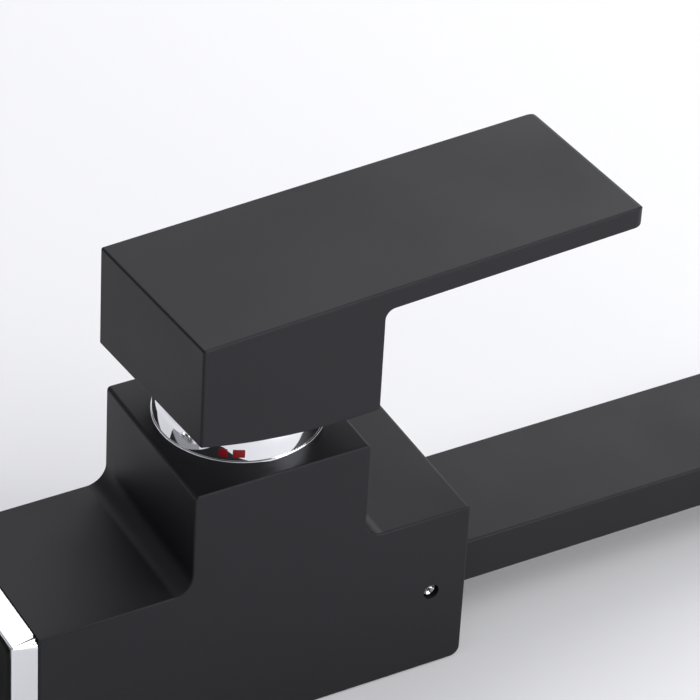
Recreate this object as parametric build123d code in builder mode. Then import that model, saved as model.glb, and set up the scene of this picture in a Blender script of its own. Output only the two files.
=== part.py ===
# Wall mounted single lever bath faucet, in millimetres.
# The wall is the plane y = 0 and the spout points along -Y, with +Z up and the hot side at -X.
# The origin is the middle of the face that lies on the wall.
from build123d import *

import os
from math import cos, radians, sin, tan

# Fits
slip = 0.1  # gap between pieces that plug or screw together
running = 0.05  # radial gap around a pin that turns
film = 0.05  # gap between the two ceramic discs
free = 0.3  # gap between pieces that pass each other

# Body: a square bar with a tower, sized around the cartridge
cartridge_radius = 17.5
nut_step = 1.4  # the nut's thread is this much wider than the cartridge's seat
side_wall = 3.5  # metal beside the nut's thread
end_wall = 3.2  # metal before and behind it
tower_rise = 27.3
rear_shelf = 37.9
front_shelf = 27.8
shelf_fillet = 5.0
nose_round = 2.5  # lower edge of the front end
corner_round = 1.0  # tower's top and upper edge of the front end
edge_round = 0.5

# Wall end
ring_length = 6.6
ring_inset = 0.25  # the ring stands this much inside the bar's faces
ring_front_corner = 2.6  # beside the body
ring_rear_corner = 0.7  # at the wall
ring_pocket_corner = 1.0
ring_wall = 1.6
ring_web = 2.0
ring_edge = 0.4
gasket_proud = 0.6
shank_length = 45.0
shank_radius = 16.5
shank_bore = 13.5
shank_relief = 0.9
shank_flange_radius = 18.0
shank_flange = 2.4
shank_chamfer = 1.0
groove_spacing = 4.5  # every third groove of the shank's thread
groove_depth = 0.8
groove_width = 1.2
spigot_radius = 15.0
spigot_depth = 10.0

# Waterways
inlet_spread = 7.5  # each inlet from the middle
inlet_thread_radius = 4.5
inlet_thread = 9.0
inlet_way = 3.8
outlet_way = 4.6
port_radius = 3.5
port_back = 4.0  # inlets behind the cartridge axis
port_front = 8.0  # outlet ahead of it
drill_over = 1.0  # the level waterways run this far past their ports

# Cartridge, from the tower's top downwards
nut_depth = 7.0
nut_collar = 5.0
collar_step = 1.5  # the nut's collar is this much narrower than its thread
notch_width = 4.0
notch_depth = 2.0
shoulder = 2.5
neck_rise = 2.0
neck_wall = 2.0
neck_step = 6.5  # the neck's bore is this much narrower than the cartridge
housing_wall = 1.7
pivot_depth = 4.0
pin_radius = 1.5
pin_inset = 0.6
turret_rise = 1.0
turret_lip = 2.6
turret_flange = 2.4
leg_length = 3.0
leg_width = 10.0
leg_thickness = 3.0
stem_side = 8.0
stem_headroom = 2.5
arm_thickness = 3.4
ball_radius = 2.5
ball_cover = 2.3  # the arm's rounded end sits this deep in the carrier
carrier_gap = 0.55  # carrier to housing at either end of its travel
carrier_half_width = 9.2
carrier_floor = 1.0
prong_radius = 1.5
prong_length = 1.5
prong_spread = 7.0
moving_disc_step = 0.5  # the moving disc is this much narrower than its carrier
moving_disc = 4.0
mixing_radius = 6.0
mixing_depth = 1.5
fixed_disc = 4.5
base_height = 6.5
seal_width = 1.7
seal_depth = 1.0
seal_proud = 0.5
peg_radius = 1.9
peg_length = 3.0
peg_side = 11.5
peg_front = 7.5

# Dome cover
dome_overlap = 1.0  # beyond the nut's thread
dome_height = 12.0
dome_lip = 2.4
dome_lip_step = 0.5  # also the rounding of the lip's edge
dome_straight = 5.5
dome_taper = 0.2
dome_mouth = 14.0
dome_wall = 1.3
mark_foot = 3.2
mark_height = 2.2
mark_depth = 0.3
mark_starts = (113.0, 124.6)  # degrees from straight ahead
mark_arcs = (8.4, 6.0)

# Lever
lever_turn = 4.1  # degrees to the right of straight ahead
lever_lift = 25.0  # degrees from closed to open
lever_wall = 1.5
lever_side_gap = 0.8  # dome to side wall
lever_end_gap = 2.15  # dome to end wall
lever_reach = 94.3  # cartridge axis to tip
lever_rise = 41.1  # tower to top, at the rear
lever_fall = 1.3  # the top is this much lower at the tip
blade = 5.6
underside_rear = 14.7
underside_front = 7.7
blade_fillet = 2.3
lever_edge = 0.6
tip_corner = 3.0  # seen from above
tip_roll = 2.6  # its upper edge
roll_over = 1.03  # the roll's arc crosses the faces beside it instead of touching them
boss_half = 7.5
boss_gap = 8.0  # above the dome
boss_web = 10.0
lever_screw_radius = 2.4
lever_screw = 8.0
lever_key = 2.5

# Spout
spout_width = 32.8
spout_thickness = 12.1
spout_reach = 140.0
spout_socket = 16.0
spout_edge = 0.6
channel_width = 27.0
channel_height = 6.4
channel_end = 3.0
spout_nose_radius = 5.6
spout_nose = 10.0
spout_nose_bore = 3.0
o_ring_section = 1.5
o_ring_groove = 2.0
o_ring_sides = 8  # the hidden rings are plain, with a section of this many sides
o_ring_spots = (3.0, 7.0)
spout_screw_radius = 1.9
spout_screw_recess = 1.1  # its end below the bar's side
spout_screw_back = 9.1  # from the front end
spout_key = 2.0
key_depth = 2.2

# Aerator
aerator_setback = 17.0
aerator_radius = 8.2
aerator_height = 4.5
aerator_wall = 1.4
aerator_lip = 0.8
aerator_lip_height = 0.8
aerator_seal = 1.2
aerator_seal_width = 2.6
aerator_boss = 2.0
aerator_boss_cover = 1.0
cell_across = 1.5  # honeycomb cell, flat to flat
cell_wall = 0.4
cell_rows = 7

# Places that follow from the sizes
seat_radius = cartridge_radius + slip
nut_bore = seat_radius + nut_step
bar_half = nut_bore + side_wall
deck = bar_half + tower_rise
back = -(gasket_proud + ring_length)
tower_rear = back - rear_shelf
axis_y = tower_rear - nut_bore - end_wall
tower_front = axis_y - nut_bore - end_wall
front = tower_front - front_shelf
socket_floor = back - spigot_depth
pocket_floor_y = front + spout_socket
tip_y = front - spout_reach
aerator_y = tip_y + aerator_setback
ring_side = 2 * (bar_half - ring_inset)
gasket_side = ring_side - 2 * (ring_wall + slip)
spout_screw = bar_half - spout_width / 2 - spout_screw_recess
flange_back = back + ring_web

pivot_z = deck - pivot_depth
shoulder_top = deck - nut_depth
shoulder_under = shoulder_top - shoulder
turret_bottom = shoulder_under - slip - turret_flange
carrier_top = turret_bottom - free
ball_z = carrier_top - ball_cover
carrier_pocket = ball_z - ball_radius - free
carrier_bottom = carrier_pocket - carrier_floor
moving_bottom = carrier_bottom - moving_disc
fixed_top = moving_bottom - film
base_top = fixed_top - fixed_disc
base_bottom = base_top - base_height
seat_floor = base_bottom - seal_proud

chamber_radius = cartridge_radius - housing_wall
neck_bore = cartridge_radius - neck_step
neck_radius = neck_bore + neck_wall
collar_radius = nut_bore - slip - collar_step
dome_radius = nut_bore + dome_overlap
barrel_radius = neck_bore - slip
arm_length = pivot_z - ball_z
disc_travel = arm_length * sin(radians(lever_lift))
disc_rest = -disc_travel / 2
carrier_radius = chamber_radius - disc_travel / 2 - carrier_gap
moving_disc_radius = carrier_radius - moving_disc_step

block_half = dome_radius + lever_end_gap + lever_wall
lever_half = dome_radius + lever_side_gap + lever_wall
ceiling = lever_rise - lever_fall - blade
boss_bottom = dome_height + boss_gap
lever_screw_z = (boss_bottom + ceiling) / 2
stem_top = ceiling - stem_headroom

ports = (
    (-inlet_spread, axis_y + port_back),
    (inlet_spread, axis_y + port_back),
    (0, axis_y - port_front),
)
pegs = ((-peg_side, axis_y - peg_front), (peg_side, axis_y - peg_front))


def bearing(degrees):
    """Level direction this many degrees to the right of straight out of the wall."""
    return Vector(sin(radians(degrees)), -cos(radians(degrees)), 0)


def facing_out(y):
    """Plane square to the bar at y, with local x along X and local y along Z, facing away from the wall."""
    return Plane(origin=(0, y, 0), x_dir=(1, 0, 0), z_dir=(0, -1, 0))


def level(z):
    """Level plane at height z, centred on the cartridge axis."""
    return Plane(origin=(0, axis_y, z), x_dir=(1, 0, 0), z_dir=(0, 0, 1))


ahead = bearing(lever_turn)
cartridge_axis = Axis((0, axis_y, 0), (0, 0, 1))
upright = Plane(origin=(0, axis_y, deck), x_dir=(1, 0, 0), z_dir=(0, -1, 0))
lever_side = Plane(origin=(0, axis_y, deck), x_dir=ahead, z_dir=ahead.cross(Vector(0, 0, 1)))


def lever_level(z):
    """Level plane at height z, centred on the cartridge axis, with local x along the lever."""
    return Plane(origin=(0, axis_y, z), x_dir=ahead, z_dir=(0, 0, 1))


# Faucet body: side outline, then the cartridge's seat, the wall socket, the spout's socket and the waterways
with BuildPart() as faucet_body:
    with BuildSketch(Plane.YZ) as outline:
        with BuildLine():
            Polyline(
                (back, -bar_half),
                (back, bar_half),
                (tower_rear, bar_half),
                (tower_rear, deck),
                (tower_front, deck),
                (tower_front, bar_half),
                (front, bar_half),
                (front, -bar_half),
                close=True,
            )
        make_face()
        for spot, radius in (
            ((tower_rear, bar_half), shelf_fillet),
            ((tower_front, bar_half), shelf_fillet),
            ((tower_rear, deck), corner_round),
            ((tower_front, deck), corner_round),
            ((front, bar_half), corner_round),
            ((front, -bar_half), nose_round),
        ):
            fillet(outline.vertices().sort_by_distance(Vertex(*spot))[0], radius)
    extrude(amount=bar_half, both=True)
    fillet(faucet_body.faces().filter_by(Axis.X).edges(), edge_round)

    # Cartridge seat, with the wider thread for its nut
    with BuildSketch(level(deck)):
        Circle(seat_radius)
    extrude(amount=seat_floor - deck, mode=Mode.SUBTRACT)
    with BuildSketch(level(deck)):
        Circle(nut_bore)
    extrude(amount=-nut_depth, mode=Mode.SUBTRACT)
    with BuildSketch(Plane.XY.offset(seat_floor)):
        with Locations(*pegs):
            Circle(peg_radius + slip)
    extrude(amount=-peg_length, mode=Mode.SUBTRACT)

    # Ports drop from the seat's floor to the level waterways
    with BuildSketch(Plane.XY.offset(seat_floor)):
        with Locations(*ports):
            Circle(port_radius)
    extrude(amount=-seat_floor, mode=Mode.SUBTRACT)
    with BuildSketch(facing_out(back)):
        Circle(spigot_radius + slip)
    extrude(amount=spigot_depth, mode=Mode.SUBTRACT)
    with BuildSketch(facing_out(socket_floor)):
        with Locations((-inlet_spread, 0), (inlet_spread, 0)):
            Circle(inlet_thread_radius)
    extrude(amount=inlet_thread, mode=Mode.SUBTRACT)
    with BuildSketch(facing_out(socket_floor - inlet_thread)):
        with Locations((-inlet_spread, 0), (inlet_spread, 0)):
            Circle(inlet_way)
    extrude(
        amount=socket_floor - inlet_thread - (axis_y + port_back) + port_radius + drill_over,
        mode=Mode.SUBTRACT,
    )

    # Spout socket, its nose's bore and the outlet behind it
    with BuildSketch(facing_out(front)):
        Rectangle(spout_width + 2 * slip, spout_thickness + 2 * slip)
    extrude(amount=-spout_socket, mode=Mode.SUBTRACT)
    with BuildSketch(facing_out(pocket_floor_y)):
        Circle(spout_nose_radius + slip)
    extrude(amount=-(spout_nose + free), mode=Mode.SUBTRACT)
    with BuildSketch(facing_out(pocket_floor_y)):
        Circle(outlet_way)
    extrude(
        amount=pocket_floor_y - (axis_y - port_front) - port_radius - drill_over,
        mode=Mode.SUBTRACT,
    )
    with BuildSketch(Plane.YZ.offset(-bar_half)):
        with Locations((front + spout_screw_back, 0)):
            Circle(spout_screw_radius + slip)
    extrude(amount=bar_half - spout_width / 2, mode=Mode.SUBTRACT)

# Base ring: a square frame, rounder at the body, with a web that the shank clamps to it
with BuildPart() as base_ring:
    with BuildSketch(facing_out(-gasket_proud)):
        RectangleRounded(ring_side, ring_side, ring_rear_corner)
    with BuildSketch(facing_out(back)):
        RectangleRounded(ring_side, ring_side, ring_front_corner)
    loft()
    fillet(base_ring.edges().group_by(Axis.Y)[-1], ring_edge)
    fillet(base_ring.edges().group_by(Axis.Y)[0], ring_edge)
    with BuildSketch(facing_out(-gasket_proud)):
        RectangleRounded(ring_side - 2 * ring_wall, ring_side - 2 * ring_wall, ring_pocket_corner)
    extrude(amount=ring_length - ring_web, mode=Mode.SUBTRACT)
    with BuildSketch(facing_out(back)):
        Circle(spigot_radius + slip)
    extrude(amount=-ring_web, mode=Mode.SUBTRACT)

# Mounting shank: hollow threaded tube with a flange and a spigot for the body
with BuildPart() as mounting_shank:
    with BuildSketch(facing_out(shank_length)):
        Circle(shank_radius)
    extrude(amount=shank_length)
    chamfer(mounting_shank.edges().group_by(Axis.Y)[-1], shank_chamfer)
    with BuildSketch(facing_out(0)):
        Circle(shank_radius - shank_relief)
    extrude(amount=-flange_back)
    with BuildSketch(facing_out(flange_back)):
        Circle(shank_flange_radius)
    extrude(amount=-shank_flange)
    with BuildSketch(facing_out(flange_back)):
        Circle(spigot_radius)
    extrude(amount=flange_back - socket_floor)
    with BuildSketch(facing_out(shank_length)):
        Circle(shank_bore)
    extrude(amount=shank_length - socket_floor, mode=Mode.SUBTRACT)
    with BuildSketch(Plane.XY):
        for i in range(1, int(shank_length / groove_spacing)):
            with Locations((shank_radius, i * groove_spacing)):
                Polygon((-groove_depth, 0), (0, -groove_width / 2), (0, groove_width / 2), align=None)
    revolve(axis=Axis.Y, mode=Mode.SUBTRACT)

# Base gasket: fills the ring behind the shank's flange and stands a little proud of it
with BuildPart() as base_gasket:
    with BuildSketch(facing_out(0)):
        RectangleRounded(gasket_side, gasket_side, ring_pocket_corner)
    extrude(amount=-flange_back)
    with BuildSketch(facing_out(0)):
        Circle(shank_radius + free)
    extrude(amount=-flange_back, mode=Mode.SUBTRACT)
    with BuildSketch(facing_out(flange_back)):
        Circle(shank_flange_radius + free)
    extrude(amount=-shank_flange, mode=Mode.SUBTRACT)

# Cartridge base: plate with three ports, recesses for their seals and two pegs
with BuildPart() as cartridge_base:
    with BuildSketch(level(base_bottom)):
        Circle(cartridge_radius)
    extrude(amount=base_height)
    with BuildSketch(Plane.XY.offset(base_bottom)):
        with Locations(*pegs):
            Circle(peg_radius)
    extrude(amount=-peg_length)
    with BuildSketch(Plane.XY.offset(base_bottom)):
        with Locations(*ports):
            Circle(port_radius)
    extrude(amount=base_height, mode=Mode.SUBTRACT)
    for face_z, inwards in ((base_bottom, seal_depth), (base_top, -seal_depth)):
        with BuildSketch(Plane.XY.offset(face_z)):
            with Locations(*ports):
                Circle(port_radius + seal_width)
        extrude(amount=inwards, mode=Mode.SUBTRACT)

# Base seals: rubber rings between the cartridge's base and the seat's floor
with BuildPart() as base_seals:
    with BuildSketch(Plane.XY.offset(seat_floor)):
        with Locations(*ports):
            Circle(port_radius + seal_width - running)
            Circle(port_radius, mode=Mode.SUBTRACT)
    extrude(amount=seal_proud + seal_depth)

# Disc seals: the same rings between the base and the fixed disc
with BuildPart() as disc_seals:
    with BuildSketch(Plane.XY.offset(base_top)):
        with Locations(*ports):
            Circle(port_radius + seal_width - running)
            Circle(port_radius, mode=Mode.SUBTRACT)
    extrude(amount=-seal_depth)

# Fixed disc: lapped ceramic with the three ports
with BuildPart() as fixed_disc_part:
    with BuildSketch(level(base_top)):
        Circle(chamber_radius - free)
    extrude(amount=fixed_disc)
    with BuildSketch(Plane.XY.offset(base_top)):
        with Locations(*ports):
            Circle(port_radius)
    extrude(amount=fixed_disc, mode=Mode.SUBTRACT)

# Cartridge housing: shell with a shoulder for the nut and a neck for the turret
with BuildPart() as cartridge_housing:
    with BuildSketch(level(base_top)):
        Circle(cartridge_radius)
        Circle(chamber_radius, mode=Mode.SUBTRACT)
    extrude(amount=shoulder_top - base_top)
    with BuildSketch(level(shoulder_under)):
        Circle(cartridge_radius)
    extrude(amount=shoulder)
    with BuildSketch(level(shoulder_top)):
        Circle(neck_radius)
    extrude(amount=nut_depth + neck_rise)
    with BuildSketch(level(shoulder_under)):
        Circle(neck_bore)
    extrude(amount=shoulder + nut_depth + neck_rise, mode=Mode.SUBTRACT)

# Cartridge nut: threaded ring with a notched collar
with BuildPart() as cartridge_nut:
    with BuildSketch(level(shoulder_top)):
        Circle(nut_bore - slip)
    extrude(amount=nut_depth)
    with BuildSketch(level(deck)):
        Circle(collar_radius)
    extrude(amount=nut_collar)
    with BuildSketch(level(shoulder_top)):
        Circle(neck_radius + slip)
    extrude(amount=nut_depth + nut_collar, mode=Mode.SUBTRACT)
    with BuildSketch(level(deck + nut_collar)):
        Rectangle(2 * dome_radius, notch_width)
        Rectangle(notch_width, 2 * dome_radius)
    extrude(amount=-notch_depth, mode=Mode.SUBTRACT)


def dome_side(height):
    """Radius of the dome's straight wall at this height above the tower."""
    return dome_radius - dome_lip_step - dome_taper * (height - dome_lip) / (dome_straight - dome_lip)


def mark_sketch(degrees):
    """Section of a mark let into the dome's wall, on the upright plane at this bearing."""
    out = bearing(degrees)
    with BuildSketch(Plane(origin=(0, axis_y, deck), x_dir=out, z_dir=out.cross(Vector(0, 0, 1)))) as section:
        top = mark_foot + mark_height
        with BuildLine():
            Polyline(
                (dome_side(mark_foot) - mark_depth, mark_foot),
                (dome_side(mark_foot), mark_foot),
                (dome_side(top), top),
                (dome_side(top) - mark_depth, top),
                close=True,
            )
        make_face()
    return section.sketch


# Dome cover: turned cap with a lip on the tower and an open mouth for the stem
with BuildPart() as dome_cover:
    with BuildSketch(upright):
        with BuildLine():
            lip_side = (dome_radius, dome_lip - dome_lip_step)
            wall_foot = (dome_side(dome_lip), dome_lip)
            wall_top = (dome_side(dome_straight), dome_straight)
            Polyline(
                (dome_mouth, dome_height),
                (dome_mouth, dome_height - dome_wall),
                (collar_radius + slip, nut_collar + dome_wall),
                (collar_radius + slip, 0),
                (dome_radius, 0),
                lip_side,
            )
            TangentArc(lip_side, wall_foot, tangent=(0, 1))
            Line(wall_foot, wall_top)
            TangentArc(wall_top, (dome_mouth, dome_height), tangent=(0, 1))
        make_face()
    revolve(axis=cartridge_axis)
    for start, arc in zip(mark_starts, mark_arcs):
        revolve(mark_sketch(start), axis=cartridge_axis, revolution_arc=arc, mode=Mode.SUBTRACT)
        revolve(mark_sketch(-start), axis=cartridge_axis, revolution_arc=-arc, mode=Mode.SUBTRACT)

# Hot and cold marks: enamel patches let into the dome
with BuildPart() as hot_mark:
    for start, arc in zip(mark_starts, mark_arcs):
        revolve(mark_sketch(-start), axis=cartridge_axis, revolution_arc=-arc)

with BuildPart() as cold_mark:
    for start, arc in zip(mark_starts, mark_arcs):
        revolve(mark_sketch(start), axis=cartridge_axis, revolution_arc=arc)

# Turret: slotted barrel that turns in the neck, with a flange under the shoulder and two legs for the carrier
with BuildPart() as turret:
    swing = tan(radians(lever_lift))
    lean = 1 / cos(radians(lever_lift))
    slot_rear = stem_side / 2 * lean + (pivot_depth + turret_rise) * swing + free
    slot_front = disc_travel + ball_radius + free
    leg_inner = carrier_half_width + 2 * slip
    with BuildSketch(lever_level(turret_bottom)):
        Circle(barrel_radius)
    extrude(amount=deck + turret_rise - turret_bottom)
    with BuildSketch(lever_level(turret_bottom)):
        Circle(barrel_radius + turret_lip)
    extrude(amount=turret_flange)
    with BuildSketch(lever_level(turret_bottom)):
        with Locations((0, leg_inner + leg_thickness / 2), (0, -leg_inner - leg_thickness / 2)):
            Rectangle(leg_width, leg_thickness)
    extrude(amount=-leg_length)
    with BuildSketch(lever_level(turret_bottom)):
        with Locations(((slot_front - slot_rear) / 2, 0)):
            Rectangle(slot_front + slot_rear, stem_side + 2 * slip)
    extrude(amount=deck + turret_rise - turret_bottom, mode=Mode.SUBTRACT)
    with BuildSketch(lever_side):
        with Locations((0, -pivot_depth)):
            Circle(pin_radius + running)
    extrude(amount=barrel_radius, both=True, mode=Mode.SUBTRACT)

# Pivot pin: held in the turret, carries the stem
with BuildPart() as pivot_pin:
    with BuildSketch(lever_side):
        with Locations((0, -pivot_depth)):
            Circle(pin_radius)
    extrude(amount=barrel_radius - pin_inset, both=True)

# Stem: square post for the lever, knuckle on the pin and an arm with a rounded end
with BuildPart() as stem:
    with BuildSketch(lever_side):
        with Locations((0, (stem_top - pivot_depth) / 2)):
            Rectangle(stem_side, stem_top + pivot_depth)
        with Locations((0, -pivot_depth)):
            Circle(stem_side / 2)
        with Locations((0, -pivot_depth - arm_length / 2)):
            Rectangle(arm_thickness, arm_length)
        with Locations((0, -pivot_depth - arm_length)):
            Circle(ball_radius)
    extrude(amount=stem_side / 2, both=True)
    with BuildSketch(lever_side):
        with Locations((0, -pivot_depth)):
            Circle(pin_radius + running)
    extrude(amount=stem_side / 2, both=True, mode=Mode.SUBTRACT)

# Disc carrier: slides between the turret's legs, pushed by the stem's arm
with BuildPart() as disc_carrier:
    with BuildSketch(lever_level(carrier_bottom)):
        with Locations((disc_rest, 0)):
            Circle(carrier_radius)
            Rectangle(2 * carrier_radius, 2 * carrier_half_width, mode=Mode.INTERSECT)
    extrude(amount=carrier_top - carrier_bottom)
    with BuildSketch(lever_level(carrier_top)):
        Rectangle(2 * (ball_radius + free), stem_side + 2 * slip)
    extrude(amount=carrier_pocket - carrier_top, mode=Mode.SUBTRACT)
    with BuildSketch(lever_level(carrier_bottom)):
        with Locations((disc_rest, prong_spread), (disc_rest, -prong_spread)):
            Circle(prong_radius)
    extrude(amount=-prong_length)

# Moving disc: ceramic, with holes for the carrier's prongs and a mixing hollow underneath
with BuildPart() as moving_disc_part:
    with BuildSketch(lever_level(moving_bottom)):
        with Locations((disc_rest, 0)):
            Circle(moving_disc_radius)
    extrude(amount=moving_disc)
    with BuildSketch(lever_level(carrier_bottom)):
        with Locations((disc_rest, prong_spread), (disc_rest, -prong_spread)):
            Circle(prong_radius + slip)
    extrude(amount=-(prong_length + slip), mode=Mode.SUBTRACT)
    with BuildSketch(lever_level(moving_bottom)):
        with Locations((disc_rest, 0)):
            Circle(mixing_radius)
    extrude(amount=mixing_depth, mode=Mode.SUBTRACT)

# Lever: block and blade in one outline, arched underneath, hollowed over the dome, with a boss for the stem
with BuildPart() as lever:
    with BuildSketch(lever_side) as profile:
        blade_root = lever_rise - lever_fall * (2 * block_half) / (lever_reach + block_half)
        with BuildLine():
            Polyline(
                (-block_half, underside_rear),
                (-block_half, lever_rise),
                (lever_reach, lever_rise - lever_fall),
                (lever_reach, lever_rise - lever_fall - blade),
                (block_half, blade_root - blade),
                (block_half, underside_front),
            )
            TangentArc((block_half, underside_front), (-block_half, underside_rear), tangent=(-1, 0))
        make_face()
        under_blade = profile.vertices().sort_by_distance(Vertex(block_half, blade_root - blade))[0]
        fillet(under_blade, blade_fillet)
    extrude(amount=lever_half, both=True)
    tip = lever_side.from_local_coords((lever_reach, 0, 0))
    fillet(lever.edges().filter_by(Axis.Z).sort_by_distance(tip)[:2], tip_corner)
    sharp = lever.edges().filter_by(lambda e: e.length > blade_fillet * 2)
    fillet(sharp, lever_edge)
    with BuildSketch(lever_side):
        with Locations((lever_reach, lever_rise - lever_fall)):
            Rectangle(2 * tip_roll, 2 * tip_roll)
        with Locations((lever_reach - tip_roll, lever_rise - lever_fall - tip_roll)):
            Circle(roll_over * tip_roll, mode=Mode.SUBTRACT)
    extrude(amount=lever_half + free, both=True, mode=Mode.SUBTRACT)

    # Hollow over the dome, open below
    with BuildSketch(lever_level(deck)):
        Rectangle(2 * (block_half - lever_wall), 2 * (lever_half - lever_wall))
    extrude(amount=ceiling, mode=Mode.SUBTRACT)

    # Boss and web for the stem and its set screw
    with BuildSketch(lever_level(deck + boss_bottom)):
        Rectangle(2 * boss_half, 2 * boss_half)
        with Locations(((block_half - lever_wall) / 2, 0)):
            Rectangle(block_half - lever_wall, boss_web)
    extrude(amount=ceiling - boss_bottom)
    with BuildSketch(lever_level(deck + boss_bottom)):
        Rectangle(stem_side + 2 * slip, stem_side + 2 * slip)
    extrude(amount=stem_top + free - boss_bottom, mode=Mode.SUBTRACT)
    screw_face = Plane(
        origin=lever_side.from_local_coords((block_half, lever_screw_z, 0)),
        x_dir=(0, 0, 1),
        z_dir=-ahead,
    )
    with BuildSketch(screw_face):
        Circle(lever_screw_radius + slip)
    extrude(amount=block_half - stem_side / 2, mode=Mode.SUBTRACT)

# Lever set screw: hexagon socket grub screw on the stem's front face
with BuildPart() as lever_set_screw:
    with BuildSketch(screw_face.offset(block_half - stem_side / 2)):
        Circle(lever_screw_radius)
    extrude(amount=-lever_screw)
    with BuildSketch(screw_face.offset(block_half - stem_side / 2 - lever_screw)):
        RegularPolygon(lever_key / 2, 6, major_radius=False)
    extrude(amount=key_depth, mode=Mode.SUBTRACT)

# Spout: flat bar with a waterway, a round nose for the body and a boss for the aerator
with BuildPart() as spout:
    aerator_seat = -spout_thickness / 2 + aerator_height + aerator_seal
    channel_start = pocket_floor_y - channel_end
    channel_length = channel_start - tip_y - channel_end
    with BuildSketch(facing_out(pocket_floor_y)):
        Rectangle(spout_width, spout_thickness)
    extrude(amount=pocket_floor_y - tip_y)
    fillet(spout.edges(), spout_edge)
    with BuildSketch(facing_out(pocket_floor_y)):
        Circle(spout_nose_radius)
    extrude(amount=-spout_nose)
    for spot in o_ring_spots:
        with BuildSketch(facing_out(pocket_floor_y + spot)):
            Circle(spout_nose_radius + slip)
            Circle(spout_nose_radius + slip - o_ring_section, mode=Mode.SUBTRACT)
        extrude(amount=o_ring_groove / 2, both=True, mode=Mode.SUBTRACT)
    with BuildSketch(facing_out(channel_start)):
        Rectangle(channel_width, channel_height)
    extrude(amount=channel_length, mode=Mode.SUBTRACT)
    with BuildSketch(facing_out(channel_start)):
        Circle(spout_nose_bore)
    extrude(amount=-(channel_end + spout_nose), mode=Mode.SUBTRACT)
    with BuildSketch(Plane.XY.offset(-channel_height / 2)):
        with Locations((0, aerator_y)):
            Circle(aerator_radius + slip + aerator_boss)
    extrude(amount=aerator_seat + aerator_boss_cover + channel_height / 2)
    with BuildSketch(Plane.XY.offset(-spout_thickness / 2)):
        with Locations((0, aerator_y)):
            Circle(aerator_radius + slip)
    extrude(amount=aerator_height + aerator_seal, mode=Mode.SUBTRACT)
    with BuildSketch(Plane.XY.offset(aerator_seat)):
        with Locations((0, aerator_y)):
            Circle(aerator_radius - aerator_seal_width)
    extrude(amount=aerator_boss_cover, mode=Mode.SUBTRACT)

# Spout O-rings: one in each groove of the nose
with BuildPart() as spout_o_rings:
    for spot in o_ring_spots:
        ring_plane = facing_out(pocket_floor_y + spot)
        with BuildSketch(Plane(origin=ring_plane.origin, x_dir=(1, 0, 0), z_dir=(0, 0, 1))):
            with Locations((spout_nose_radius + slip - o_ring_section / 2, 0)):
                RegularPolygon(o_ring_section / 2 - running, o_ring_sides)
        revolve(axis=Axis.Y)

# Spout set screw: grub screw from the hot side onto the spout's flank
with BuildPart() as spout_set_screw:
    screw_plane = Plane.YZ.offset(-spout_width / 2)
    with BuildSketch(screw_plane):
        with Locations((front + spout_screw_back, 0)):
            Circle(spout_screw_radius)
    extrude(amount=-spout_screw)
    with BuildSketch(screw_plane.offset(-spout_screw)):
        with Locations((front + spout_screw_back, 0)):
            RegularPolygon(spout_key / 2, 6, major_radius=False)
    extrude(amount=key_depth, mode=Mode.SUBTRACT)

# Aerator housing: screwed ring, flush with the spout's underside, with a lip for the honeycomb
with BuildPart() as aerator_housing:
    with BuildSketch(Plane.XY.offset(-spout_thickness / 2)):
        with Locations((0, aerator_y)):
            Circle(aerator_radius)
            Circle(aerator_radius - aerator_wall, mode=Mode.SUBTRACT)
    extrude(amount=aerator_height)
    with BuildSketch(Plane.XY.offset(-spout_thickness / 2)):
        with Locations((0, aerator_y)):
            Circle(aerator_radius)
            Circle(aerator_radius - aerator_wall - aerator_lip, mode=Mode.SUBTRACT)
    extrude(amount=aerator_lip_height)

# Aerator insert: honeycomb disc on the housing's lip
with BuildPart() as aerator_insert:
    insert_foot = -spout_thickness / 2 + aerator_lip_height
    insert_height = aerator_height - aerator_lip_height
    with BuildSketch(Plane.XY.offset(insert_foot)):
        with Locations((0, aerator_y)):
            Circle(aerator_radius - aerator_wall - slip)
    extrude(amount=insert_height)
    with BuildSketch(Plane(origin=(0, aerator_y, insert_foot))):
        with HexLocations((cell_across + cell_wall) / 2, cell_rows, cell_rows):
            RegularPolygon(cell_across / 2, 6, major_radius=False)
        Circle(aerator_radius - aerator_wall - aerator_lip - cell_wall, mode=Mode.INTERSECT)
    extrude(amount=insert_height, mode=Mode.SUBTRACT)

# Aerator seal: rubber washer between the housing and its seat in the spout
with BuildPart() as aerator_seal_part:
    with BuildSketch(Plane.XY.offset(aerator_seat)):
        with Locations((0, aerator_y)):
            Circle(aerator_radius)
            Circle(aerator_radius - aerator_seal_width, mode=Mode.SUBTRACT)
    extrude(amount=-aerator_seal)

pieces = {
    "faucet_body": faucet_body,
    "base_ring": base_ring,
    "base_gasket": base_gasket,
    "mounting_shank": mounting_shank,
    "cartridge_base": cartridge_base,
    "base_seals": base_seals,
    "disc_seals": disc_seals,
    "fixed_disc": fixed_disc_part,
    "cartridge_housing": cartridge_housing,
    "cartridge_nut": cartridge_nut,
    "dome_cover": dome_cover,
    "hot_mark": hot_mark,
    "cold_mark": cold_mark,
    "turret": turret,
    "pivot_pin": pivot_pin,
    "stem": stem,
    "disc_carrier": disc_carrier,
    "moving_disc": moving_disc_part,
    "lever": lever,
    "lever_set_screw": lever_set_screw,
    "spout": spout,
    "spout_o_rings": spout_o_rings,
    "spout_set_screw": spout_set_screw,
    "aerator_housing": aerator_housing,
    "aerator_insert": aerator_insert,
    "aerator_seal": aerator_seal_part,
}
os.makedirs("parts", exist_ok=True)
for name, piece in pieces.items():
    piece.part.label = name
    export_step(piece.part, f"parts/{name}.step")
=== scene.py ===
from math import cos, radians, sin

import bpy
import numpy as np
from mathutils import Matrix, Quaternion, Vector


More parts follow.
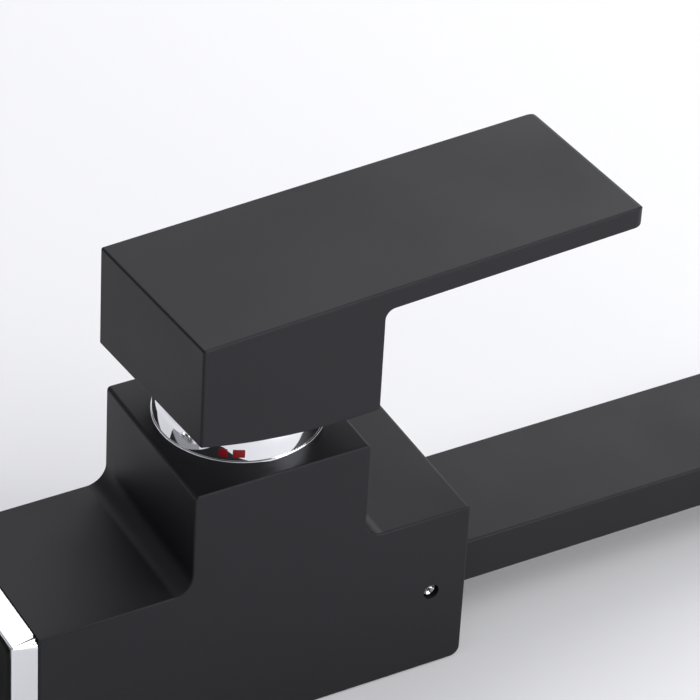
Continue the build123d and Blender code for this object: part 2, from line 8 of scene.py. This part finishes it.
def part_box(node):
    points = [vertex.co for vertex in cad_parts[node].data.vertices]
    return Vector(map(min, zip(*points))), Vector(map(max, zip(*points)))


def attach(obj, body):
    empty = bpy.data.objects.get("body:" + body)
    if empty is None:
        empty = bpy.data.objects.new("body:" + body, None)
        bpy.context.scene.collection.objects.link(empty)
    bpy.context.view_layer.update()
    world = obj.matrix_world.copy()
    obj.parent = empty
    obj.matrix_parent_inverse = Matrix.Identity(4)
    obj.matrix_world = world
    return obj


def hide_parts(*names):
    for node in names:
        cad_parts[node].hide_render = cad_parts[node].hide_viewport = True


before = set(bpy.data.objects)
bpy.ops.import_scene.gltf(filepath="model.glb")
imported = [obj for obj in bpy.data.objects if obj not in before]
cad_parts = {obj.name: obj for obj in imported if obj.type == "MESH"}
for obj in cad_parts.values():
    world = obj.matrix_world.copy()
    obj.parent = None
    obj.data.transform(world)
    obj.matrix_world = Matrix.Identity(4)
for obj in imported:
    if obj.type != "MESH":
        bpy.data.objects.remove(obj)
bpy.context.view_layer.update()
MM = 0.001
sharp_edge = radians(35)  # a crease steeper than this stays sharp
merge_step = 1e-4  # millimetres, points closer than this are one

# Places, in millimetres: the wall is y = 0, the spout points along -Y, +Z is up
axis_y = -67.3  # cartridge axis
deck = 49.8  # top of the tower
lever_turn = radians(4.1)
lever_ahead = (sin(lever_turn), -cos(lever_turn), 0.0)

# Dome cover and its marks
dome_section = (  # radius, height above the tower, rounding of that corner
    (20.0, 0.0, 0.0),
    (20.0, 2.4, 0.3),
    (19.7, 2.4, 0.0),
    (19.3, 10.9, 6.6),
    (14.0, 12.0, 0.3),
    (14.0, 10.7, 0.0),
    (17.5, 6.3, 0.0),
    (17.5, 0.0, 0.0),
)
dome_columns = 192
mark_radius = 19.55
mark_middle = 4.3  # height above the tower
mark_half_height = 1.1
mark_half_depth = 0.12
mark_spans = ((113.0, 121.4), (124.6, 130.6))  # degrees from straight ahead
mark_rows = 33
mark_columns = 40

# Base ring: front at the body, rear at the wall
ring_front = -7.2
ring_rear = -0.6
ring_floor = -5.2
ring_half = 22.25
ring_front_corner = 2.6
ring_rear_corner = 0.7
ring_edge = 0.4
ring_pocket = 20.65
ring_pocket_corner = 1.0
ring_hole = 15.1
ring_flat_columns = np.linspace(-41, 41, 9)  # degrees: few columns on a flat, many at its corner
ring_corner_columns = np.linspace(41.3, 48.7, 38)
ring_edge_rows = 7
ring_side_rows = 13

# Threaded pieces
shank_end = 45.0
shank_radius = 16.5
shank_pitch = 1.5
shank_chamfer = 1.0
shank_bore = 13.5
shank_columns = 120
shank_rest = (  # radius and place of the corners after the thread, from the wall to the body
    (15.6, 0.0),
    (15.6, -2.8),
    (18.0, -2.8),
    (18.0, -5.2),
    (15.0, -5.2),
    (15.0, -17.2),
    (13.5, -17.2),
)
spout_screw = ((-16.4, -108.2, 0.0), (-1.0, 0.0, 0.0))  # inner end and direction
spout_screw_sizes = (1.9, 5.0, 0.7, 2.0)  # radius, length, pitch, key
lever_screw_foot = 4.0  # from the cartridge axis
lever_screw_height = 76.9
lever_screw_sizes = (2.4, 8.0, 0.8, 2.5)
key_depth = 2.2
key_lead = 0.45  # the socket's countersink, beyond its flats
key_lead_depth = 0.5
screw_columns = 96  # a multiple of six, so that columns meet the socket's corners
o_ring_places = (-98.3, -94.3)
o_ring_radius = 4.95
o_ring_section = 0.7
o_ring_rows = 24
o_ring_columns = 72


# Meshes from grids of points
def rounded(corners, steps=16):
    """Closed section: each corner (x, y, radius) becomes an arc of that radius, touching both of its sides.
    The arc starts radius / tan(half angle) before the corner and its centre lies on the corner's bisector."""
    line = []
    for k, (x, y, radius) in enumerate(corners):
        here = np.array([x, y])
        back = np.array(corners[k - 1][:2]) - here
        on = np.array(corners[(k + 1) % len(corners)][:2]) - here
        back /= np.linalg.norm(back)
        on /= np.linalg.norm(on)
        half = np.arccos(np.clip(back @ on, -1, 1)) / 2
        if radius == 0:
            line.append(here)
            continue
        middle = here + (back + on) / np.linalg.norm(back + on) * radius / np.sin(half)
        first = here + back * radius / np.tan(half) - middle
        last = here + on * radius / np.tan(half) - middle
        sweep = np.pi - 2 * half
        for t in np.linspace(0, 1, steps):
            line.append(middle + (np.sin((1 - t) * sweep) * first + np.sin(t * sweep) * last) / np.sin(sweep))
    return np.array(line)


def turned(origin, axis, radius, along, angle):
    """Points around an axis: origin + along * axis + radius * (cos, sin) of angle on two normals to the axis.
    The three arrays broadcast to one grid of rows and columns."""
    axis = np.array(axis, float)
    side = np.array([1.0, 0.0, 0.0]) if abs(axis[2]) > 0.9 else np.cross(axis, [0.0, 0.0, 1.0])
    other = np.cross(axis, side)
    radius, along, angle = np.broadcast_arrays(radius, along, angle)
    spoke = np.cos(angle)[..., None] * side + np.sin(angle)[..., None] * other
    return np.array(origin, float) + along[..., None] * axis + radius[..., None] * spoke


def around(columns):
    """Angles of a full turn, first and last on the same line."""
    return np.linspace(0, 2 * np.pi, columns + 1)


def thread_rows(radius, pitch, first, last, angle):
    """Rows of a 60 degree thread between two places on its axis, as (radius, along) grids. The rows follow
    the helix: along = row + pitch * angle / 2 pi, held between the ends. In each pitch the radius stays at
    the root for a quarter, climbs by 0.54 of the pitch, stays at the crest for an eighth and falls again."""
    depth = 0.54 * pitch
    breaks = np.array([0, 0.25, 0.5625, 0.6875])
    depths = np.array([depth, depth, 0, 0])
    turns = int(np.ceil((last - first) / pitch)) + 2
    rows = ((np.arange(turns)[:, None] - 1 + breaks) * pitch + first).reshape(-1, 1)
    along = np.clip(rows + pitch * angle / (2 * np.pi), first, last)
    phase = ((along - first) / pitch - angle / (2 * np.pi)) % 1
    return radius - np.interp(phase, [*breaks, 1.0], [*depths, depth]), along


def hexagon(across, angle):
    """Distance from the middle of a hexagon to its side: across / 2 / cos(angle from the nearest flat)."""
    return across / 2 / np.cos((angle % (np.pi / 3)) - np.pi / 6)


def squares(half, corner, angle):
    """Distance from the middle of a square to its side, its corners rounded. On a flat it is
    half / cos(angle); on a corner it is the far crossing with a circle around
    (half - corner, half - corner)."""
    long = np.maximum(np.abs(np.cos(angle)), np.abs(np.sin(angle)))
    short = np.minimum(np.abs(np.cos(angle)), np.abs(np.sin(angle)))
    inset = half - corner
    reach = np.sqrt(np.maximum(corner ** 2 - (inset * (long - short)) ** 2, 0))
    return np.where(half * short <= inset * long, half / long, inset * (long + short) + reach)


def quads(rows, columns, wrap_rows):
    """Corner numbers of the quads of a grid: each cell takes its row and column and the next ones."""
    r, c = np.meshgrid(np.arange(rows if wrap_rows else rows - 1), np.arange(columns - 1), indexing="ij")
    r_next = (r + 1) % rows
    corners = (r * columns + c, r * columns + c + 1, r_next * columns + c + 1, r_next * columns + c)
    return np.stack(corners, axis=-1).reshape(-1, 4)


def shells_mesh(name, shells):
    """Mesh of closed shells, each a grid in millimetres and whether its last row meets its first. Points that
    meet at seams and poles are merged, empty cells are dropped, and a shell of negative volume is turned
    round."""
    points, faces, count = [], [], 0
    for grid, wrap_rows in shells:
        flat = grid.reshape(-1, 3)
        keys = np.round(flat / merge_step).astype(np.int64)
        _, first, index = np.unique(keys, axis=0, return_index=True, return_inverse=True)
        cells = index.reshape(-1)[quads(grid.shape[0], grid.shape[1], wrap_rows)]
        halves = np.concatenate([cells[:, [0, 1, 2]], cells[:, [0, 2, 3]]])
        a, b, c = (flat[first][halves[:, k]] for k in range(3))
        if np.einsum("ij,ij->i", a, np.cross(b, c)).sum() < 0:
            cells = cells[:, ::-1]
        cells = [list(dict.fromkeys(cell)) for cell in cells.tolist()]
        faces += [[count + k for k in cell] for cell in cells if len(cell) > 2]
        points.append(flat[first])
        count += len(first)
    mesh = bpy.data.meshes.new(name)
    mesh.from_pydata((np.concatenate(points) * MM).tolist(), [], faces)
    mesh.validate()
    mesh.shade_smooth()
    mesh.set_sharp_from_angle(angle=sharp_edge)
    return mesh


def weigh_normals(piece):
    """Large flat faces keep their own normal, and the roundings between them shade smoothly."""
    weights = piece.modifiers.new("weights", "WEIGHTED_NORMAL")
    weights.keep_sharp = True


def add_piece(name, body, slot, shells):
    """Puts the shells in the place of the CAD node of that name."""
    piece = bpy.data.objects.new(name + "_turned", shells_mesh(name + "_turned", shells))
    bpy.context.scene.collection.objects.link(piece)
    piece.data.materials.append(finishes[slot])
    weigh_normals(piece)
    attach(piece, body)
    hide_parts(name)


# Materials
def linear(code):
    """sRGB hex colour as linear RGBA."""
    s = np.array([int(code[k:k + 2], 16) for k in (1, 3, 5)]) / 255
    rgb = np.where(s <= 0.04045, s / 12.92, ((s + 0.055) / 1.055) ** 2.4)
    return (*rgb.tolist(), 1.0)


def per_mm(size):
    """Texture scale at which one cell of a pattern is this many millimetres across."""
    return 1 / (size * MM)


def add(tree, kind, inputs=None, **settings):
    """Adds a node, sets its own settings, and fills its inputs with values or with other nodes' outputs."""
    node = tree.nodes.new(kind)
    for key, value in settings.items():
        setattr(node, key, value)
    for key, value in (inputs or {}).items():
        if isinstance(value, bpy.types.NodeSocket):
            tree.links.new(value, node.inputs[key])
        else:
            node.inputs[key].default_value = value
    return node


def new_material(name):
    """Empty material with its output node, as (material, tree, output)."""
    material = bpy.data.materials.new(name)
    material.use_nodes = True
    tree = material.node_tree
    tree.nodes.clear()
    return material, tree, add(tree, "ShaderNodeOutputMaterial")


def matt_black_paint():
    """Stoved matt black paint on cast brass, sprayed: a broad soft sheen, a faint orange peel about 0.7 mm
    across, and a fine dry grain that breaks up the highlights on the edges."""
    material, tree, output = new_material("matt_black_stoved_paint")
    place = add(tree, "ShaderNodeTexCoord").outputs["Object"]
    peel = add(tree, "ShaderNodeTexNoise", {"Vector": place, "Scale": per_mm(0.7), "Detail": 2.0})
    grain = add(tree, "ShaderNodeTexNoise", {"Vector": place, "Scale": per_mm(0.16), "Detail": 1.0})
    cloud = add(tree, "ShaderNodeTexNoise", {"Vector": place, "Scale": per_mm(28), "Detail": 3.0})
    rough = add(tree, "ShaderNodeMapRange", {"Value": cloud.outputs["Fac"], "From Min": 0.3, "From Max": 0.7,
                                             "To Min": 0.47, "To Max": 0.53})
    tint = add(tree, "ShaderNodeMix", {"Factor": grain.outputs["Fac"], "A": linear("#0D0D0F"),
                                       "B": linear("#101012")}, data_type="RGBA")
    low = add(tree, "ShaderNodeBump", {"Height": peel.outputs["Fac"], "Distance": 0.004 * MM,
                                       "Strength": 0.6})
    fine = add(tree, "ShaderNodeBump", {"Height": grain.outputs["Fac"], "Distance": 0.003 * MM,
                                        "Strength": 0.5, "Normal": low.outputs["Normal"]})
    paint = add(tree, "ShaderNodeBsdfPrincipled", {"Base Color": tint.outputs["Result"], "IOR": 1.4,
                                                   "Specular Tint": linear("#F3F2FF"),
                                                   "Roughness": rough.outputs["Result"],
                                                   "Normal": fine.outputs["Normal"]})
    tree.links.new(paint.outputs["BSDF"], output.inputs["Surface"])
    return material


def chrome_plate():
    """Bright chrome over buffed brass: a clear cold mirror with a slight haze from the buffing wheel."""
    material, tree, output = new_material("polished_chrome_plate")
    place = add(tree, "ShaderNodeTexCoord").outputs["Object"]
    haze = add(tree, "ShaderNodeTexNoise", {"Vector": place, "Scale": per_mm(6), "Detail": 4.0})
    rough = add(tree, "ShaderNodeMapRange", {"Value": haze.outputs["Fac"], "From Min": 0.35, "From Max": 0.7,
                                             "To Min": 0.03, "To Max": 0.07})
    plate = add(tree, "ShaderNodeBsdfPrincipled", {"Base Color": linear("#F0F1F4"), "Metallic": 1.0,
                                                   "Roughness": rough.outputs["Result"]})
    tree.links.new(plate.outputs["BSDF"], output.inputs["Surface"])
    return material


def turned_brass():
    """Free cutting brass, turned: warm yellow, tarnished in soft clouds, with a fine grain from the tool."""
    material, tree, output = new_material("turned_brass")
    place = add(tree, "ShaderNodeTexCoord").outputs["Object"]
    grain = add(tree, "ShaderNodeTexNoise", {"Vector": place, "Scale": per_mm(0.35), "Detail": 2.0})
    tarnish = add(tree, "ShaderNodeTexNoise", {"Vector": place, "Scale": per_mm(9), "Detail": 4.0})
    tint = add(tree, "ShaderNodeMix", {"Factor": tarnish.outputs["Fac"], "A": linear("#B98E4B"),
                                       "B": linear("#D2AC66")}, data_type="RGBA")
    bump = add(tree, "ShaderNodeBump", {"Height": grain.outputs["Fac"], "Distance": 0.006 * MM,
                                        "Strength": 0.5})
    metal = add(tree, "ShaderNodeBsdfPrincipled", {"Base Color": tint.outputs["Result"], "Metallic": 1.0,
                                                   "Roughness": 0.3, "Normal": bump.outputs["Normal"]})
    tree.links.new(metal.outputs["BSDF"], output.inputs["Surface"])
    return material


def bright_steel():
    """Stainless steel, machined: neutral grey, with a fine scratch that blurs what it mirrors."""
    material, tree, output = new_material("machined_stainless_steel")
    place = add(tree, "ShaderNodeTexCoord").outputs["Object"]
    scratch = add(tree, "ShaderNodeTexNoise", {"Vector": place, "Scale": per_mm(0.2), "Detail": 2.0})
    rough = add(tree, "ShaderNodeMapRange", {"Value": scratch.outputs["Fac"], "To Min": 0.08, "To Max": 0.22})
    metal = add(tree, "ShaderNodeBsdfPrincipled", {"Base Color": linear("#D6D6D5"), "Metallic": 1.0,
                                                   "Roughness": rough.outputs["Result"]})
    tree.links.new(metal.outputs["BSDF"], output.inputs["Surface"])
    return material


def moulded(name, dark, light, roughness, grain_size, grain_depth, ior=1.5):
    """Moulded or pressed stuff: two close tones in soft clouds, and the fine grain of its mould."""
    material, tree, output = new_material(name)
    place = add(tree, "ShaderNodeTexCoord").outputs["Object"]
    cloud = add(tree, "ShaderNodeTexNoise", {"Vector": place, "Scale": per_mm(7), "Detail": 3.0})
    grain = add(tree, "ShaderNodeTexNoise", {"Vector": place, "Scale": per_mm(grain_size), "Detail": 2.0})
    tint = add(tree, "ShaderNodeMix", {"Factor": cloud.outputs["Fac"], "A": linear(dark), "B": linear(light)},
               data_type="RGBA")
    bump = add(tree, "ShaderNodeBump", {"Height": grain.outputs["Fac"], "Distance": grain_depth * MM,
                                        "Strength": 0.5})
    stuff = add(tree, "ShaderNodeBsdfPrincipled", {"Base Color": tint.outputs["Result"], "IOR": ior,
                                                   "Roughness": roughness, "Normal": bump.outputs["Normal"]})
    tree.links.new(stuff.outputs["BSDF"], output.inputs["Surface"])
    return material


finishes = {
    "matte_black": matt_black_paint(),
    "chrome": chrome_plate(),
    "brass": turned_brass(),
    "steel": bright_steel(),
    # Vulcanised rubber: near black and dull, with the sandy skin of its mould
    "black_rubber": moulded("epdm_rubber", "#0B0B0C", "#121213", 0.72, 0.25, 0.02, ior=1.4),
    # Sintered alumina, lapped flat: ivory white with a silky gloss
    "white_ceramic": moulded("lapped_alumina", "#E6E2D8", "#F0EEE7", 0.22, 0.4, 0.001, ior=1.77),
    # Acetal: milky white plastic with a waxy half gloss
    "cartridge_plastic": moulded("moulded_acetal", "#D3D3CD", "#DEDED9", 0.42, 0.3, 0.006),
    # Polypropylene: brighter white, a little glossier than acetal
    "white_plastic": moulded("moulded_polypropylene", "#DCDCD8", "#E8E8E5", 0.36, 0.3, 0.005),
    # Baked enamel on the chrome: deep colour with a satin gloss. Both colours are darker than the enamel
    # itself: painted shade standing in for the lever's shadow over the marks
    "red_enamel": moulded("red_enamel", "#8A0C18", "#9A0E1C", 0.3, 0.5, 0.001, ior=1.35),
    "blue_enamel": moulded("blue_enamel", "#10358A", "#17429C", 0.3, 0.5, 0.001, ior=1.35),
}

# CAD nodes keep their shape: corners are welded and split at sharp edges, then weighed like the turned pieces
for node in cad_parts.values():
    for place in node.material_slots:
        place.material = finishes[place.material.name]
    node.data.shade_smooth()
    weld = node.modifiers.new("weld", "WELD")
    weld.merge_threshold = 0.001 * MM
    split = node.modifiers.new("split", "EDGE_SPLIT")
    split.split_angle = sharp_edge
    weigh_normals(node)


# Dome cover: its section turned about the cartridge axis
def dome_grid():
    """Rows along the rounded section, columns around the axis: (section radius, section height, angle)."""
    section = rounded(dome_section)
    return turned((0, axis_y, deck), (0, 0, 1), section[:, :1], section[:, 1:], around(dome_columns))


def mark_grid(first, last, hand):
    """Pillow on the dome's wall between two bearings. Its section is the superellipse
    (half height * cos^0.3, half depth * sin^0.3), and along its run from -1 to 1 it narrows at the ends by
    (1 - |run|^16)^(1/16)."""
    run = np.linspace(-1, 1, mark_rows)[:, None]
    narrow = (1 - np.abs(run) ** 16) ** (1 / 16)
    loop = around(mark_columns)
    height = mark_half_height * np.sign(np.cos(loop)) * np.abs(np.cos(loop)) ** 0.3
    depth = mark_half_depth * np.sign(np.sin(loop)) * np.abs(np.sin(loop)) ** 0.3
    bearing = np.radians((first + last) / 2 + run * (last - first) / 2)
    out = mark_radius + narrow * depth
    x = hand * out * np.sin(bearing)
    y = axis_y - out * np.cos(bearing)
    return np.stack([x, y, deck + mark_middle + narrow * height + 0 * x], axis=-1)


add_piece("dome_cover", "body", "chrome", [(dome_grid(), True)])
add_piece("hot_mark", "body", "red_enamel", [(mark_grid(*span, -1), False) for span in mark_spans])
add_piece("cold_mark", "body", "blue_enamel", [(mark_grid(*span, 1), False) for span in mark_spans])


# Base ring: a section carried around a square whose corners open from the wall to the body
def ring_grid():
    """Rows go around the section, columns around the ring, each point a (distance from the middle, place).
    The edges are quarter circles: the square is smaller by edge * (1 - sin t) and edge * (1 - cos t) further
    in. Between them the corner's radius grows evenly from the wall to the body."""
    quarter = np.radians(np.concatenate([ring_flat_columns, ring_corner_columns]))
    angle = np.concatenate([quarter + k * np.pi / 2 for k in range(4)] + [quarter[:1] + 2 * np.pi])
    turn = np.radians(np.linspace(0, 90, ring_edge_rows))
    inset = ring_edge * (1 - np.sin(turn))
    drop = ring_edge * (1 - np.cos(turn))
    rows = [(np.full_like(angle, ring_hole), ring_floor)]
    for place in (ring_floor, ring_rear):
        rows.append((squares(ring_pocket, ring_pocket_corner, angle), place))
    for less, back in zip(inset, drop):
        rows.append((squares(ring_half - less, ring_rear_corner - less, angle), ring_rear - back))
    for share in np.linspace(0, 1, ring_side_rows)[1:-1]:
        corner = ring_rear_corner + share * (ring_front_corner - ring_rear_corner)
        place = ring_rear - ring_edge + share * (ring_front - ring_rear + 2 * ring_edge)
        rows.append((squares(ring_half, corner, angle), place))
    for less, back in zip(inset[::-1], drop[::-1]):
        rows.append((squares(ring_half - less, ring_front_corner - less, angle), ring_front + back))
    rows.append((np.full_like(angle, ring_hole), ring_front))
    radius = np.array([row[0] for row in rows])
    place = np.array([[row[1]] for row in rows])
    return turned((0, 0, 0), (0, 1, 0), radius, place, angle)


add_piece("base_ring", "body", "chrome", [(ring_grid(), True)])


# Mounting shank: thread, relief, flange, spigot and bore
def shank_grid():
    """Rows: the helical thread from the wall to the end, cut back by the end's chamfer, then the end, the
    bore and the other corners back to the thread. Columns go around the axis."""
    angle = around(shank_columns)
    radius, along = thread_rows(shank_radius, shank_pitch, 0.0, shank_end, angle)
    radius = np.minimum(radius, shank_radius - shank_chamfer + (shank_end - along))
    flat = np.array([(shank_bore, shank_end)] + list(shank_rest[::-1]))
    radius = np.concatenate([radius, flat[:, :1] + 0 * angle])
    along = np.concatenate([along, flat[:, 1:] + 0 * angle])
    return turned((0, 0, 0), (0, 1, 0), radius, along, angle)


def screw_grid(foot, direction, radius, length, pitch, key):
    """Grub screw: rows from the middle of its flat foot over the thread, chamfered at both ends, to the
    countersink, the hexagon socket and the socket's drilled floor. Columns meet the hexagon's corners."""
    angle = around(screw_columns)
    thread, along = thread_rows(radius, pitch, 0.0, length, angle)
    chamfer = pitch / 2
    thread = np.minimum(thread, radius - chamfer + np.minimum(along, length - along))
    socket = hexagon(key, angle)
    lead_in = 0 * angle + key / 2 + key_lead
    floor = length - key_depth
    drill = floor - key / 4
    inner = [(lead_in, length), (socket, length - key_lead_depth), (socket, floor), (0 * angle, drill)]
    radius = np.concatenate([0 * angle[None], thread, *[r[None] for r, _ in inner]])
    along = np.concatenate([0 * angle[None], along, *[0 * angle[None] + place for _, place in inner]])
    return turned(foot, direction, radius, along, angle)


def ring_of(place):
    """Torus around the spout's nose: (ring radius + section * cos, place + section * sin)."""
    loop = around(o_ring_rows)[:, None]
    return turned((0, place, 0), (0, 1, 0), o_ring_radius + o_ring_section * np.cos(loop),
                  o_ring_section * np.sin(loop), around(o_ring_columns))


lever_screw_start = (lever_ahead[0] * lever_screw_foot, axis_y + lever_ahead[1] * lever_screw_foot,
                     lever_screw_height)
add_piece("mounting_shank", "body", "steel", [(shank_grid(), True)])
add_piece("spout_set_screw", "body", "steel", [(screw_grid(*spout_screw, *spout_screw_sizes), False)])
add_piece("lever_set_screw", "lever", "steel",
          [(screw_grid(lever_screw_start, lever_ahead, *lever_screw_sizes), False)])
add_piece("spout_o_rings", "body", "black_rubber", [(ring_of(place), False) for place in o_ring_places])

# Camera at the photograph's viewpoint
camera = bpy.data.objects.new("camera", bpy.data.cameras.new("camera"))
bpy.context.scene.collection.objects.link(camera)
camera_place = Vector((-660.19, 293.86, 630.81)) * MM
camera_aim = Vector((0.0, -95.66, 59.35)) * MM
camera_roll = radians(3.321)
camera_lens = 215.76
camera.location = camera_place
camera.rotation_mode = "QUATERNION"
look = (camera_aim - camera_place).to_track_quat("-Z", "Y")
camera.rotation_quaternion = look @ Quaternion((0, 0, 1), camera_roll)
camera.data.sensor_width = 36
camera.data.lens = camera_lens
camera.data.clip_start = 0.01
bpy.context.scene.camera = camera

# Floor
floor_gap = 0.1 * MM
floor_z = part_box("faucet_body")[0].z - floor_gap
floor_reach = 3.0  # metres
corners = [(x, y, floor_z) for x, y in ((-1, -1), (1, -1), (1, 1), (-1, 1))]
floor_mesh = bpy.data.meshes.new("floor")
floor_mesh.from_pydata([(x * floor_reach, y * floor_reach, z) for x, y, z in corners], [], [(0, 1, 2, 3)])
floor = bpy.data.objects.new("floor", floor_mesh)
bpy.context.scene.collection.objects.link(floor)
floor_paper, tree, output = new_material("white_paper")
paper = add(tree, "ShaderNodeBsdfPrincipled", {"Base Color": linear("#FBFBFE"), "Roughness": 0.7,
                                               "Specular IOR Level": 0.2})
tree.links.new(paper.outputs["BSDF"], output.inputs["Surface"])
floor.data.materials.append(floor_paper)

# World: even light from all round
ambient = 0.35
world = bpy.data.worlds.new("studio")
world.use_nodes = True
bpy.context.scene.world = world
tree = world.node_tree
tree.nodes.clear()
sky = add(tree, "ShaderNodeBackground", {"Color": linear("#F8F8FC"), "Strength": ambient})
add(tree, "ShaderNodeOutputWorld", {"Surface": sky.outputs["Background"]})


def add_softbox(name, place, aim, side, power):
    """Square area lamp at place, turned towards aim, with sizes in metres and power in watts."""
    lamp = bpy.data.lights.new(name, "AREA")
    lamp.shape = "SQUARE"
    lamp.size = side
    lamp.energy = power
    box = bpy.data.objects.new(name, lamp)
    box.location = place
    box.rotation_mode = "QUATERNION"
    box.rotation_quaternion = (Vector(aim) - Vector(place)).to_track_quat("-Z", "Y")
    box.visible_camera = False
    bpy.context.scene.collection.objects.link(box)


# The low one draws a light along the edges towards the camera
subject = (0.0, -0.1, 0.02)
add_softbox("softbox_back", (0.8, -0.5, 0.9), subject, 1.2, 4.3)
add_softbox("softbox_front", (0.8, -0.95, 0.6), subject, 0.5, 2.1)
add_softbox("softbox_top", (0.25, -0.2, 1.5), subject, 1.0, 3.2)
add_softbox("softbox_near", (-0.8, -1.0, 1.1), subject, 0.9, 12.4)
add_softbox("softbox_low", (-1.2, -0.65, 0.12), subject, 0.35, 4.0)

bpy.context.scene.view_settings.view_transform = "Standard"
